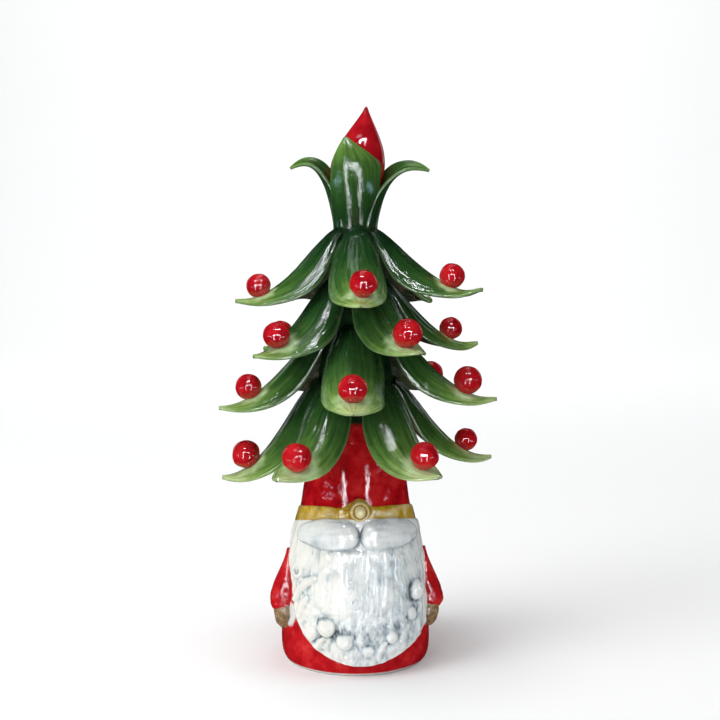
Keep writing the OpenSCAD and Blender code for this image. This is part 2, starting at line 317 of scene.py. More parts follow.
def times(tree, a, b):
    return math_node(tree, "MULTIPLY", a, b)


def plus(tree, a, b):
    return math_node(tree, "ADD", a, b)


def less(tree, a, b):
    return math_node(tree, "SUBTRACT", a, b)


def leaf_noise(tree, across, along, detail, roughness):
    """Noise in a leaf's own coordinates, different for each leaf."""
    vector = tree.nodes.new("ShaderNodeCombineXYZ")
    tree.links.new(across, vector.inputs["X"])
    tree.links.new(along, vector.inputs["Y"])
    tree.links.new(attribute(tree, "number"), vector.inputs["Z"])
    return cloud(tree, vector.outputs["Vector"], 1.0, detail, roughness)


def blend_colour(tree, factor, a, b, mode="MIX"):
    node = add_node(tree, "ShaderNodeMix", data_type="RGBA", blend_type=mode)
    for key, value in (("Factor", factor), ("A", a), ("B", b)):
        socket = [s for s in node.inputs if s.name == key and s.enabled][0]
        if isinstance(value, (int, float)):
            socket.default_value = value
        elif isinstance(value, tuple):
            socket.default_value = (*value, 1)
        else:
            tree.links.new(value, socket)
    return [s for s in node.outputs if s.enabled][0]


def finish_glaze(tree, shader, colour, wave=0.10, grain=0.02, roughness=0.4, height=None):
    """A clear glaze over colour: a mirror-like coat with a gentle wave and a fine orange peel."""
    tree.links.new(colour, shader.inputs["Base Color"])
    shader.inputs["Roughness"].default_value = roughness
    shader.inputs["IOR"].default_value = 1.5
    shader.inputs["Specular IOR Level"].default_value = 0.0
    shader.inputs["Coat Weight"].default_value = 1.0
    shader.inputs["Coat Roughness"].default_value = 0.015
    shader.inputs["Coat IOR"].default_value = 1.55
    vector = place(tree)
    soft = cloud(tree, vector, 0.16, 2.0)
    fine = cloud(tree, vector, 1.1, 2.0)
    relief = plus(tree, times(tree, soft, wave * 10), times(tree, fine, grain * 10))
    if height is not None:
        relief = plus(tree, relief, height)
    node = tree.nodes.new("ShaderNodeBump")
    node.inputs["Strength"].default_value = 0.5
    node.inputs["Distance"].default_value = 0.001
    tree.links.new(relief, node.inputs["Height"])
    tree.links.new(node.outputs["Normal"], shader.inputs["Normal"])
    tree.links.new(node.outputs["Normal"], shader.inputs["Coat Normal"])


def red_glaze(name, deep, full, light, scale=0.11, wave=0.03):
    """Red that pools darker and breaks lighter in soft blotches."""
    material, tree, shader = new_material(name)
    blotch = cloud(tree, place(tree), scale, 4.0, 0.6)
    colour = ramp(tree, blotch, [(0.3, deep), (0.5, full), (0.72, light)])
    finish_glaze(tree, shader, colour, wave=wave, grain=0.005)
    return material


def robe_material():
    """Red glaze that leaves a bare clay line at the foot and a white patch round the mittens."""
    material, tree, shader = new_material("robe_red_glaze")
    vector = place(tree)
    blotch = cloud(tree, vector, 0.1, 4.0, 0.62)
    red = ramp(tree, blotch, [
        (0.3, (0.34, 0.006, 0.010)), (0.5, (0.53, 0.012, 0.017)), (0.7, (0.66, 0.040, 0.040))])
    edge = cloud(tree, vector, 0.25, 3.0)
    wobble = times(tree, less(tree, edge, 0.5), 0.35)
    white = grey(tree, plus(tree, attribute(tree, "white"), wobble), 0.40, 0.58)
    colour = blend_colour(tree, white, red, (0.74, 0.76, 0.74))
    colour = blend_colour(tree, attribute(tree, "bare"), colour, (0.82, 0.80, 0.77))
    finish_glaze(tree, shader, colour, wave=0.10)
    return material


def hat_material():
    """Red below the tree, dark green where the leaves grow."""
    material, tree, shader = new_material("hat_glaze")
    vector = place(tree)
    blotch = cloud(tree, vector, 0.11, 4.0, 0.62)
    red = ramp(tree, blotch, [
        (0.3, (0.26, 0.003, 0.007)), (0.48, (0.46, 0.006, 0.010)), (0.72, (0.68, 0.030, 0.030))])
    green = ramp(tree, blotch, [(0.3, (0.004, 0.014, 0.006)), (0.7, (0.018, 0.055, 0.018))])
    brush = plus(tree, attribute(tree, "green"), times(tree, less(tree, blotch, 0.5), 0.8))
    colour = blend_colour(tree, grey(tree, brush, 0.4, 0.6), red, green)
    finish_glaze(tree, shader, colour, wave=0.05, grain=0.01)
    dull = less(tree, 1.0, attribute(tree, "green"))
    tree.links.new(dull, shader.inputs["Coat Weight"])
    return material


def leaf_material():
    """Dark green at the root, brushed lighter to a yellow-green tip and paler along the rims; the pale patch
    round each berry's seat is partly slip and partly painted light, and the grey underside colour is painted
    shade and painted reflection.
    """
    material, tree, shader = new_material("leaf_green_glaze")
    along = attribute(tree, "along")
    across = attribute(tree, "across")
    vector = place(tree)
    blotch = cloud(tree, vector, 0.10, 4.0, 0.6)
    # Brush strokes run along the leaf.
    streak = leaf_noise(tree, times(tree, across, 9.0), times(tree, along, 2.2), 5.0, 0.68)
    shifted = plus(tree, along, times(tree, less(tree, streak, 0.5), 0.42))
    shifted = plus(tree, shifted, times(tree, less(tree, blotch, 0.5), 0.30))
    base = ramp(tree, shifted, [
        (0.05, (0.006, 0.026, 0.009)), (0.36, (0.015, 0.056, 0.013)), (0.58, (0.042, 0.112, 0.024)),
        (0.74, (0.105, 0.215, 0.043)), (0.88, (0.235, 0.370, 0.100)), (1.0, (0.46, 0.58, 0.27))])
    shade = ramp(tree, streak, [(0.28, (0.36, 0.40, 0.36)), (0.5, (1, 1, 1)), (0.72, (1.45, 1.32, 1.2))])
    base = blend_colour(tree, 0.6, base, shade, "MULTIPLY")
    tint = grey(tree, cloud(tree, vector, 0.15, 3.0, 0.6), 0.60, 0.78)
    base = blend_colour(tree, times(tree, tint, 0.30), base, (0.15, 0.085, 0.035))
    base = blend_colour(tree, times(tree, attribute(tree, "rim"), 0.22), base, (0.24, 0.34, 0.17))
    # Pale green round each berry's seat: partly pale slip, partly painted light that lifts the berry's shadow
    # and the red it throws on the leaf.
    base = blend_colour(tree, times(tree, attribute(tree, "seat_slip_and_painted_light"), 0.75), base, (0.62, 0.86, 0.46))
    # The underside colour is painted: dark painted shade with paler grey blotches that paint a reflection.
    below = ramp(tree, blotch, [
        (0.3, (0.020, 0.030, 0.016)), (0.55, (0.075, 0.085, 0.055)), (0.75, (0.22, 0.21, 0.17))])
    colour = blend_colour(tree, attribute(tree, "under"), base, below)
    # Fine ridges left by the modelling tool break the gloss into short dashes along the leaf.
    ridges = leaf_noise(tree, times(tree, across, 8.0), times(tree, along, 6.0), 1.5, 0.5)
    height = times(tree, times(tree, ridges, attribute(tree, "tooled")), 0.9)
    finish_glaze(tree, shader, colour, wave=0.05, grain=0.02, height=height)
    return material


def white_material():
    """White tin glaze, warmer to the left, with a grey-blue wash that stays in the hollows. The same grey,
    carried in 'hollow', also paints shade on the moustache lobes and the shadow under them on the beard, and
    it is kept lighter on the left side as painted light.
    """
    material, tree, shader = new_material("beard_white_glaze")
    vector = place(tree)
    wash = cloud(tree, vector, 0.065, 6.0, 0.66)
    speck = cloud(tree, place(tree, (1, 1, 0.3)), 0.55, 4.0, 0.7)
    amount = plus(tree, attribute(tree, "hollow"), times(tree, less(tree, wash, 0.50), 1.5))
    amount = plus(tree, amount, times(tree, less(tree, speck, 0.5), 0.50))
    colour = ramp(tree, amount, [
        (0.0, (0.87, 0.89, 0.87)), (0.22, (0.79, 0.83, 0.83)), (0.45, (0.55, 0.62, 0.65)),
        (0.65, (0.31, 0.37, 0.41)), (0.85, (0.13, 0.155, 0.17)), (1.0, (0.055, 0.062, 0.07))])
    colour = blend_colour(tree, times(tree, attribute(tree, "warm"), 0.6), colour,
                          (1.0, 0.95, 0.86), "MULTIPLY")
    finish_glaze(tree, shader, colour, wave=0.07)
    return material


def gold_material():
    """Ochre glaze, thin and pale on the high places and brown where it pools; the pearl's pale middle is a
    painted highlight.
    """
    material, tree, shader = new_material("band_gold_glaze")
    blotch = cloud(tree, place(tree), 0.20, 4.0, 0.68)
    gold = ramp(tree, blotch, [
        (0.26, (0.22, 0.11, 0.006)), (0.42, (0.42, 0.24, 0.014)), (0.58, (0.56, 0.36, 0.030)),
        (0.72, (0.64, 0.47, 0.09))])
    colour = blend_colour(tree, times(tree, attribute(tree, "high"), 0.75), gold, (0.84, 0.74, 0.42))
    colour = blend_colour(tree, attribute(tree, "crease"), colour, (0.16, 0.075, 0.012))
    finish_glaze(tree, shader, colour, wave=0.08)
    return material


def brown_material():
    material, tree, shader = new_material("mitten_brown_glaze")
    blotch = cloud(tree, place(tree), 0.3, 4.0, 0.7)
    colour = ramp(tree, blotch, [
        (0.3, (0.12, 0.070, 0.034)), (0.5, (0.29, 0.19, 0.10)), (0.72, (0.52, 0.39, 0.24))])
    finish_glaze(tree, shader, colour, wave=0.2)
    return material


# ---- Robe and hat ----

def seam_height(radius, azimuth):
    """Height of the leaning seam at a radius and azimuth (radians)."""
    return ROBE_H + radius * np.cos(azimuth - math.radians(BODY_TURN)) * math.tan(BAND_TILT)


def add_robe(material):
    """The thrown robe: rounded hem, soft hand-made waves, hollow inside, open foot ring."""
    columns = 192
    azimuth = circle(columns)
    from_front = np.degrees(np.arctan2(np.sin(azimuth), np.cos(azimuth))) - BODY_TURN
    rows = [(FOOT_R + (HEM_R - FOOT_R) * math.sin(a), HEM_Z * (1 - math.cos(a)), "hem")
            for a in np.linspace(0, math.pi / 2, 14)]
    rows += [(0, u, "outside") for u in np.linspace(0, 1, 56)[1:]]
    rows += [(0, u, "inside") for u in np.linspace(1, 0, 24)]
    rows += [(FOOT_R - 9.0, HEM_Z / 3, "foot"), (FOOT_R - 9.0, 0.8, "foot"), (FOOT_R - 8.2, 0.0, "foot")]
    points, bare, white = [], [], []
    for radius, z, part in rows:
        if part in ("outside", "inside"):
            height = HEM_Z + (seam_height(SEAM_R, azimuth) - HEM_Z) * z
            edge = body_r(height) - (WALL if part == "inside" else 0)
        else:
            height = np.full(columns, float(z))
            edge = np.full(columns, float(radius))
        outer = part in ("hem", "outside")
        if outer:
            fade = smooth(height / HEM_Z) * smooth((ROBE_H + 6 - height) / 20)
            edge = edge - 0.35 * fade * (1 + fbm(np.sin(azimuth) * 2, np.cos(azimuth) * 2, height * 0.035, 5))
        points.append(around(edge, azimuth, height))
        foot_line = 1.9 + 0.4 * noise(np.sin(azimuth) * 5, np.cos(azimuth) * 5, 0, 6)
        bare.append(smooth((foot_line - height) / 0.5) if outer else np.ones(columns))
        patch = 1.1 * bump(np.abs(from_front), 66, 9) * bump(height, 31, 8)
        cheek = smooth((height - 52) / 6) * smooth((81 + 0.8 * (height - 60) - np.abs(from_front)) / 7)
        white.append(np.maximum(patch, cheek) if outer else np.zeros(columns))
    faces = ring_faces(len(rows), columns)
    return add_piece("robe", np.concatenate(points), faces, material, ["robe_shell"],
                     {"bare": np.concatenate(bare), "white": np.concatenate(white)})


def add_hat(material):
    """The hat's core: hand-pressed, red below the tree and green where the leaves grow."""
    columns = 160
    azimuth = circle(columns)
    points, green = [], []
    for side in (0, 1):
        steps = np.linspace(0, 1, 90) if side == 0 else np.linspace(1, 0, 24)
        for u in steps:
            base = seam_height(SEAM_R, azimuth)
            height = base + (NECK_Z - base) * u
            edge = body_r(height) - (WALL if side else 0)
            if side == 0:
                dent = fbm(np.sin(azimuth) * 2.4, np.cos(azimuth) * 2.4, height * 0.06, 11)
                pressed = fbm(azimuth * 6, height * 0.16, 0, 12)
                edge = edge - 0.4 * (1 + dent) * smooth((height - base) / 8)
                edge = edge + 0.13 * pressed * smooth((height - base) / 6) * smooth((150 - height) / 20)
                # Slip smeared round the neck closes the joint between the tree and the calyx.
                edge = edge + (2.6 + 0.5 * pressed) * bump(height, NECK_Z - 3, 6.5)
            points.append(around(edge, azimuth, height))
            green.append(smooth((height - 138) / 14))
    faces = ring_faces(len(points), columns)
    return add_piece("hat_core", np.concatenate(points), faces, material, ["hat_cone"],
                     {"green": np.concatenate(green)})


def add_band(material):
    """The gold band: a leaning raised strip with hand-cut wavy edges, swelling at the boss."""
    columns, across = 360, 20
    azimuth = np.linspace(-np.pi, np.pi, columns, endpoint=False)
    front = azimuth - math.radians(BODY_TURN)
    boss = bump(front, 0, 0.15)
    side = 1 - np.cos(front)
    upper = 2.6 + 1.9 * np.clip(side, 0, 1) + 0.45 * noise(azimuth * 4.5, 3.0, 0, 21) + 3.0 * boss
    upper = upper - 0.7 * bump(front, -0.42, 0.12)
    lower = -(4.6 + 2.6 * np.clip(side, 0, 1)) + 0.35 * noise(azimuth * 4.5, 9.0, 0, 22) - 1.4 * boss
    points, high = [], []
    loop = 2 * across
    for k in range(loop):
        t = 2 * math.pi * k / loop
        share = 0.5 + 0.5 * math.cos(t)
        outside = math.sin(t) >= -1e-9
        crown = max(0.0, math.sin(t)) ** 0.5
        height = seam_height(SEAM_R + 1, azimuth) + mix(lower, upper, share) / math.cos(BAND_TILT)
        relief = 0.16 * fbm(azimuth * 9, share * 3, 0, 23) + 0.10 * noise(azimuth * 22, share * 4, 0, 25)
        edge = body_r(height) + (BAND_T * (0.8 * crown) + relief * crown if outside else -0.8)
        points.append(around(edge, azimuth, height))
        paled = np.clip(crown * (0.20 + 0.6 * noise(azimuth * 8, share * 2, 0, 24)), 0, 1)
        high.append(paled * (1 if outside else 0))
    grid = np.stack(points, 1)
    values = np.stack(high, 1)
    faces = []
    for i in range(columns):
        for k in range(loop):
            here, there = i * loop, ((i + 1) % columns) * loop
            after = (k + 1) % loop
            faces.append([here + k, there + k, there + after, here + after])
    return add_piece("hat_band_gold", grid.reshape(-1, 3), faces, material, ["hat_band"],
                     {"high": values.ravel(), "crease": np.zeros(values.size)})


def cap_on_body(name, centre_azimuth, centre_z, outline, height_at, material, nodes, values_at,
                rings=44, sides=128, sink=0.8, base=0.0):
    """A raised form on the body. outline(angle) is its reach in mm, height_at(x, z, r) its relief in mm."""
    angle = circle(sides)
    reach = outline(angle)
    points, rows = [], []
    for k in range(rings + 3):
        share = math.sin(0.5 * math.pi * min(k, rings) / rings) if k < rings + 2 else 0.5
        x = reach * np.cos(angle) * share
        z = reach * np.sin(angle) * share
        r = np.full(sides, share)
        radius = body_r(centre_z + z) + base
        relief = height_at(x, z, r) if k <= rings else np.full(sides, -sink)
        points.append(around(radius + relief, centre_azimuth + x / radius, centre_z + z))
        rows.append(values_at(x, z, r) if k <= rings else {"high": 0 * x, "crease": 0 * x})
    values = {key: np.concatenate([row[key] for row in rows]) for key in rows[0]}
    faces = tube_faces(len(points), sides)
    return add_piece(name, np.concatenate(points), faces, material, nodes, values)


def add_boss(material):
    """The boss of the band: a clay loop with pointed lobes beside it, round a pearl whose pale middle is a
    painted highlight.
    """
    azimuth = math.radians(BODY_TURN + 0.6)
    height = ROBE_H + SEAM_R * math.tan(BAND_TILT)

    def reach(angle):
        left = np.clip(-np.cos(angle), 0, 1) ** 5
        right = np.clip(np.cos(angle), 0, 1) ** 5
        return 5.9 + 4.4 * left + 1.6 * right + 1.4 * np.clip(np.sin(angle), 0, 1) ** 3

    def loop_height(x, z, r):
        distance = np.hypot(x, z * 0.92)
        ring = 1.5 * bump(distance, 4.7, 1.0)
        ridge = 0.55 * bump(z, 0, 0.9) * smooth((np.abs(x) - 4.6) / 1.5)
        return (1 - r ** 5) * (0.75 + ring + ridge + 0.12 * noise(x, z, 0, 91))

    def loop_values(x, z, r):
        distance = np.hypot(x, z * 0.92)
        return {"high": 0.8 * bump(distance, 4.7, 0.8),
                "crease": np.clip(0.45 * bump(distance, 3.5, 0.45) + 0.30 * bump(distance, 6.1, 0.5), 0, 1)}

    def pearl_reach(angle):
        return 3.1 + 0.7 * np.abs(np.sin(angle))

    def pearl_height(x, z, r):
        return 3.1 * np.sqrt(np.clip(1 - r ** 2, 0, 1)) + 0.08 * noise(x, z, 0, 92)

    # Painted highlight: the pearl is painted pale in the middle, fading to ochre at its edge.
    def pearl_values(x, z, r):
        return {"high": np.clip(1.35 - 0.5 * r, 0, 1.3), "crease": 0.2 * (r > 0.97)}

    cap_on_body("plaque_gold", azimuth, height, reach, loop_height, material, ["band_plaque"],
                loop_values, base=BAND_T * 0.6)
    cap_on_body("pearl_gold", azimuth, height, pearl_reach, pearl_height, material, ["band_pearl"],
                pearl_values, base=BAND_T * 0.5 + 1.0, sink=1.5)


# ---- Beard, moustache ----

# Radius at which azimuths on the beard become millimetres, and the heights it lies between.
BEARD_R = 45.0
BEARD_LOW = 6.8
BEARD_HIGH = 86.5

# Ball curls on the beard: azimuth, height, diameter, height of the ball, turn of its spiral.
CURLS = [
    (-21, 29, 11.5, 2.6, 0.4), (-7.5, 21.5, 10.0, 3.4, 1.1), (27, 23, 7.5, 2.8, 1.6),
    (54, 47.5, 12.5, 3.2, 4.4), (46, 34.5, 8.0, 1.5, 5.0), (9, 16, 7.0, 1.0, 0.0), (-34, 24, 9.0, 1.1, 1.5),
]
# Curls whose middle is a hollow: azimuth, height, diameter of the ring, depth.
HOLES = [(-54, 58.5, 9.5, 1.9), (-46, 51.5, 7.5, 1.2), (55, 49.5, 4.5, 0.7)]
# Thick locks laid over the beard: azimuth and height at both ends, width, height.
LOCKS = [
    (-53, 42, -34, 56, 7.5, 1.5), (-47, 33, -39, 44, 6.5, 0.9), (-31, 13, -24, 22, 6.0, 0.8),
    (17, 11, 22, 20, 5.0, 0.8), (36, 17, 41, 28, 6.0, 0.7), (53, 24, 57, 38, 6.5, 0.9),
    (-27, 42, -23, 64, 8.0, 0.5),
]
# Where the dark wash has settled: azimuth, height, width, height of the pool, strength.
POOLS = [
    (-13, 28.5, 3.5, 6.0, 0.55), (-1, 24, 2.2, 6.5, 0.40), (-9, 27, 6.0, 2.0, 0.35), (27, 29, 6.5, 3.0, 0.50),
    (33, 25.5, 2.2, 5.5, 0.42), (21, 31, 9.0, 6.5, 0.22), (-42, 44, 4.5, 7.5, 0.34),
    (-53, 58.5, 3.4, 2.0, 0.60), (-46, 51.5, 2.4, 2.2, 0.55), (-60, 68, 4.0, 4.0, 0.30),
    (48, 41, 3.5, 5.0, 0.35), (55, 49, 2.6, 2.6, 0.45), (44, 66, 10.0, 7.0, 0.22), (60, 60, 4.0, 14.0, 0.25),
    (40, 52, 5.0, 18.0, 0.16), (-30, 27, 3.0, 7.0, 0.25), (3, 33, 7.0, 5.0, 0.20), (-3, 52, 3.5, 5.5, 0.28),
    (42, 24, 5.0, 9.0, 0.30), (12, 22, 6.0, 6.0, 0.22), (43, 46, 4.0, 9.0, 0.42), (50, 33, 3.5, 6.0, 0.40),
    (-30, 71, 16.0, 1.6, 0.35), (34, 71, 15.0, 1.8, 0.42), (-36, 33, 3.5, 5.0, 0.30),
    (20, 50, 8.0, 12.0, 0.14),
]


def lock_field(across, up):
    """Relief of the laid locks and the dark lines beside them."""
    relief = np.zeros_like(across)
    line = np.zeros_like(across)
    for a0, z0, a1, z1, width, tall in LOCKS:
        x0, x1 = math.radians(a0) * BEARD_R, math.radians(a1) * BEARD_R
        dx, dz = x1 - x0, z1 - z0
        length = math.hypot(dx, dz)
        t = np.clip(((across - x0) * dx + (up - z0) * dz) / length ** 2, 0, 1)
        bow = 0.10 * length * np.sin(math.pi * t)
        px, pz = x0 + dx * t - bow * dz / length, z0 + dz * t + bow * dx / length
        swell = 0.45 + 0.55 * np.sin(math.pi * np.clip(0.12 + 0.8 * t, 0, 1))
        distance = np.hypot(across - px, up - pz) / (width / 2 * swell)
        body = np.clip(1 - distance ** 2, 0, 1) ** 1.4
        relief = np.maximum(relief, tall * body)
        line = np.maximum(line, bump(distance, 1.15, 0.30))
    return relief, line


def beard_field(azimuth, height):
    """Relief over the beard's ground and how far a point lies in a hollow, on arrays."""
    across, up = azimuth * BEARD_R, height
    warp_x = across + 2.2 * fbm(across / 15, up / 15, 0, 42) + 0.08 * (60 - up) * np.sin(across * 0.09)
    warp_z = up + 2.2 * fbm(across / 15, up / 15, 5.0, 43)
    # Long fine hair above, wrinkled curly hair below.
    calm = bump(azimuth, math.radians(1), 0.42) * bump(up, 54, 18)
    low = smooth((44 - up) / 22)
    hair = 0.55 * noise(warp_x / 3.4, warp_z / 26, 0, 31) + 0.36 * noise(warp_x / 1.6, warp_z / 20, 0, 32) \
        + 0.20 * noise(warp_x / 0.8, warp_z / 14, 0, 33)
    curly = 1.35 * fbm(warp_x / 6.5, warp_z / 7.5, 0, 36, 4) + 0.30 * noise(warp_x / 1.7, warp_z / 2.6, 0, 37)
    lump = 1.1 * fbm(across / 16, up / 16, 0, 35)
    relief = mix(0.60 * hair + 0.35 * curly, curly + 0.15 * hair, low) * (1 - 0.85 * calm)
    relief = relief + lump * (1 - 0.5 * calm)
    # A few scratches wander over the calm middle.
    scratch = noise(warp_x / 2.1 + 9, warp_z / 3.4, 0, 44)
    scribble = bump(scratch, 0, 0.10) * bump(azimuth, math.radians(-3), 0.14) * bump(up, 46, 11)
    dome, ring = np.zeros_like(across), np.zeros_like(across)
    for azimuth_c, z_c, diameter, tall, turn in CURLS:
        dx, dz = across - math.radians(azimuth_c) * BEARD_R, up - z_c
        distance = np.hypot(dx, dz) / (diameter / 2) * (1 + 0.12 * noise(dx / 4, dz / 4, turn, 45))
        swirl = np.arctan2(dz, dx)
        ball = np.sqrt(np.clip(1 - distance ** 2, 0, 1))
        groove = bump(np.cos(0.5 * (6.5 * distance - swirl - turn)), 0, 0.20)
        groove = groove * (distance < 0.95) * smooth(distance * 4)
        lopsided = 1 + 0.16 * noise(dx / 3.5, dz / 3.5, turn + 2, 51)
        dome = np.maximum(dome, tall * ball ** 1.6 * lopsided - 0.30 * groove * ball)
        partial = 0.5 + 0.5 * np.sin(swirl + turn)
        rough = 0.5 + 0.5 * noise(across / 2.2, up / 2.2, turn, 46)
        ring = np.maximum(ring, 0.75 * bump(distance, 1.15, 0.34) * partial ** 1.5 * rough)
        ring = np.maximum(ring, 0.16 * groove * (distance < 0.9) * rough)
    for azimuth_c, z_c, diameter, deep in HOLES:
        dx, dz = across - math.radians(azimuth_c) * BEARD_R, (up - z_c) * 1.1
        distance = np.hypot(dx, dz) / (diameter / 2)
        dome = dome + 1.0 * bump(distance, 0.78, 0.30) - deep * bump(distance, 0, 0.36)
    locks, line = lock_field(across, up)
    relief = relief * (1 - 0.6 * np.clip(locks + dome, 0, 1)) + np.maximum(locks, dome)
    relief = relief - 0.7 * ring - 0.15 * line * (dome < 0.3) - 0.30 * scribble
    dry = 0.5 + 0.5 * noise(across / 4.0, up / 4.0, 3.0, 47)
    stroke = 0.62 + 0.55 * noise(warp_x / 1.1 + warp_z / 3.0, warp_z / 2.4 - warp_x / 3.0, 0, 49) \
        + 0.30 * noise(warp_x / 0.5, warp_z / 1.1, 0, 50)
    pool = np.zeros_like(across)
    for azimuth_c, z_c, wide, tall, strength in POOLS:
        dx, dz = (warp_x - math.radians(azimuth_c) * BEARD_R) / wide, (warp_z - z_c) / tall
        pool = np.maximum(pool, strength * np.exp(-(dx ** 2 + dz ** 2)))
    pool = 1.5 * pool * np.clip(stroke, 0.15, 1.3)
    return relief, np.clip(np.maximum(0.70 * ring, pool) + 0.07 * line * dry + 0.60 * scribble * dry, 0, 1.2)


def add_beard(material):
    """The beard with the white cheeks, modelled as one relief on the robe."""
    columns, rows = 340, 300
    low, tall = BEARD_LOW, BEARD_HIGH - BEARD_LOW
    centre = math.radians(5)
    v = np.linspace(0, 1, rows)
    z_row = low + tall * (0.35 * v * v + 0.65 * v)
    # Half width in degrees, read at heights from the chin point up to the cheeks.
    heights = [6.8, 8.5, 12, 16.5, 21, 25, 30, 36, 42, 50, 60, 66, 90]
    left = [2, 17, 28.5, 38, 45, 50, 55, 59.5, 62.5, 67, 75, 80, 98]
    right = [2, 17, 29, 42, 54, 60, 65, 68, 70, 72, 77, 81, 96]
    half_left = np.radians(moving_average(np.interp(z_row, heights, left)))
    half_right = np.radians(moving_average(np.interp(z_row, heights, right)))
    u = np.linspace(-1, 1, columns)
    grid_u = np.meshgrid(u, v, indexing="ij")[0]
    half = np.where(grid_u < 0, half_left[None, :], half_right[None, :])
    azimuth = centre + grid_u * half
    ceiling = seam_height(SEAM_R, azimuth) - 3.9
    height = low + (ceiling - low) * ((z_row - low) / tall)[None, :]
    radius = body_r(height)
    side = np.clip((1 - np.abs(grid_u)) * half * BEARD_R / 2.6, 0, 1)
    below = np.clip((height - low) / 2.0 + 0.02, 0, 1)
    above = np.clip((ceiling - height) / 1.5, 0, 1)
    edge = np.sqrt(1 - (1 - side) ** 2) * np.sqrt(1 - (1 - below) ** 2) * np.sqrt(1 - (1 - above) ** 2)
    relief, hollow = beard_field(azimuth, height)
    ground = 1.9 + 1.0 * bump(azimuth, centre, 0.62) * bump(height, 38, 30)
    ground = ground - 0.5 * smooth((np.abs(azimuth - centre) - 0.95) / 0.3) * smooth((60 - height) / 10)
    full = edge * (ground + relief)
    # A shallow groove under the moustache; its grey, added to the wash below, is a painted shadow of the
    # lobes.
    lip_groove_and_shadow = bump(height, 73.6, 1.8) * (0.6 + 0.4 * noise(azimuth * 14, 2.0, 0, 48))
    lip_groove_and_shadow = lip_groove_and_shadow * smooth((math.radians(60) - np.abs(azimuth - centre)) / 0.2)
    full = np.clip(full - 0.5 * lip_groove_and_shadow * edge, 0.04 * edge, 6.2)
    front = around(radius + full, azimuth, height)
    back = around(radius - 1.0 + 0 * full, azimuth, height)
    fine = full - box_blur(full, 6)
    broad = full - box_blur(full, 22)
    left_side = smooth((centre - azimuth) / 0.5)
    wash = 0.13 + 0.16 * bump(azimuth, math.radians(30), 0.36) * bump(height, 42, 26)
    wash = wash + 0.10 * bump(height, 26, 10)
    # The wash is kept lighter on the left side: painted light to match the stronger light from the left.
    hollow = wash - 0.42 * fine - 0.24 * broad + 0.62 * hollow + 0.20 * lip_groove_and_shadow - 0.07 * left_side
    hollow = np.clip(hollow, 0, 1.1)
    points = np.concatenate([front.reshape(-1, 3), back.reshape(-1, 3)])
    count = columns * rows
    i, j = np.meshgrid(np.arange(columns - 1), np.arange(rows - 1), indexing="ij")
    p = (i * rows + j).ravel()
    quad = np.stack([p, p + rows, p + rows + 1, p + 1], -1)
    faces = quad.tolist() + (quad[:, ::-1] + count).tolist()
    for k in range(rows - 1):
        a, b = k, k + 1
        faces.append([a, b, b + count, a + count])
        a, b = (columns - 1) * rows + k, (columns - 1) * rows + k + 1
        faces.append([b, a, a + count, b + count])
    for k in range(columns - 1):
        a, b = k * rows, (k + 1) * rows
        faces.append([b, a, a + count, b + count])
        a, b = a + rows - 1, b + rows - 1
        faces.append([a, b, b + count, a + count])
    warm = np.concatenate([left_side.ravel(), left_side.ravel()])
    return add_piece("beard_relief", points, faces, material, ["beard", "beard_curls"],
                     {"hollow": np.concatenate([hollow.ravel(), hollow.ravel()]), "warm": warm})


def moving_average(values, size=9):
    """A moving average of a single row."""
    kernel = np.ones(2 * size + 1) / (2 * size + 1)
    return np.convolve(np.pad(values, size, mode="edge"), kernel, "valid")


def box_blur(values, size):
    """A box blur, used to tell hollows from bumps."""
    out = np.apply_along_axis(moving_average, 0, values, size)
    return np.apply_along_axis(moving_average, 1, out, size)


def add_moustache(side, material):
    """One lobe: a fat rounded inner end, nearly even along its length and blunt at the cheek."""
    rows, columns = 120, 96
    name = SIDE_NAME[side]
    turn = circle(columns)
    points, hollow, warm = [], [], []
    for s in np.linspace(0, 1, rows):
        inner = max(0.0, 1 - (1 - min(1, s / 0.22)) ** 2.3) ** 0.5
        outer = math.sqrt(max(0.0, 1 - max(0.0, (s - 0.78) / 0.22) ** 2))
        size = max(0.02, inner * outer * (1 - 0.36 * float(smooth((s - 0.45) / 0.5))))
        z = ROBE_H - 6.9 + 1.0 * math.sin(s * 3.0) - 1.2 * s * s
        azimuth = math.radians(BODY_TURN) + side * math.radians(0.1 + 66.5 * s)
        up = 8.8 * size * np.sin(turn)
        out = (6.0 - 1.8 * s) * size * np.cos(turn)
        strand = 0.5 * noise(turn * 1.6 + s * 2.2, s * 2.6, 0, 51 + side)
        strand = strand + 0.32 * noise(turn * 4.4 + 3 * s, s * 3.4, 0, 53 + side)
        strand = strand + 0.18 * noise(turn * 9.0 + 4 * s, s * 5.0, 0, 57 + side)
        radius = body_r(z + up) + 2.0 + out + 0.55 * strand * size
        radius = np.maximum(radius, body_r(z + up) - 1)
        points.append(around(radius, np.full(columns, azimuth), z + up * (1 + 0.03 * strand)))
        # Painted shade, stored as 'hollow': the lobe is greyed most along its lower edge, less along its top
        # edge and in the creases at both ends. The right lobe also darkens towards its cheek end.
        crease = 0.70 * math.exp(-((s / 0.045) ** 2)) + 0.22 * math.exp(-(((s - 1) / 0.12) ** 2))
        shade = 0.16 + crease - 0.34 * strand + 0.42 * bump(np.sin(turn), -1, 0.30)
        shade = shade + 0.16 * bump(np.sin(turn), 1, 0.3)
        hollow.append(np.clip(shade + (0.10 if side > 0 else 0.0) * s, 0, 1))
        warm.append(np.full(columns, 0.6 * s if side < 0 else 0.0))
    faces = tube_faces(rows, columns, flip=side < 0)
    return add_piece("moustache_lobe_" + name, np.concatenate(points), faces, material, ["moustache_" + name],
                     {"hollow": np.concatenate(hollow), "warm": np.concatenate(warm)})


# ---- Arms ----

ARM_AZ = 80.0


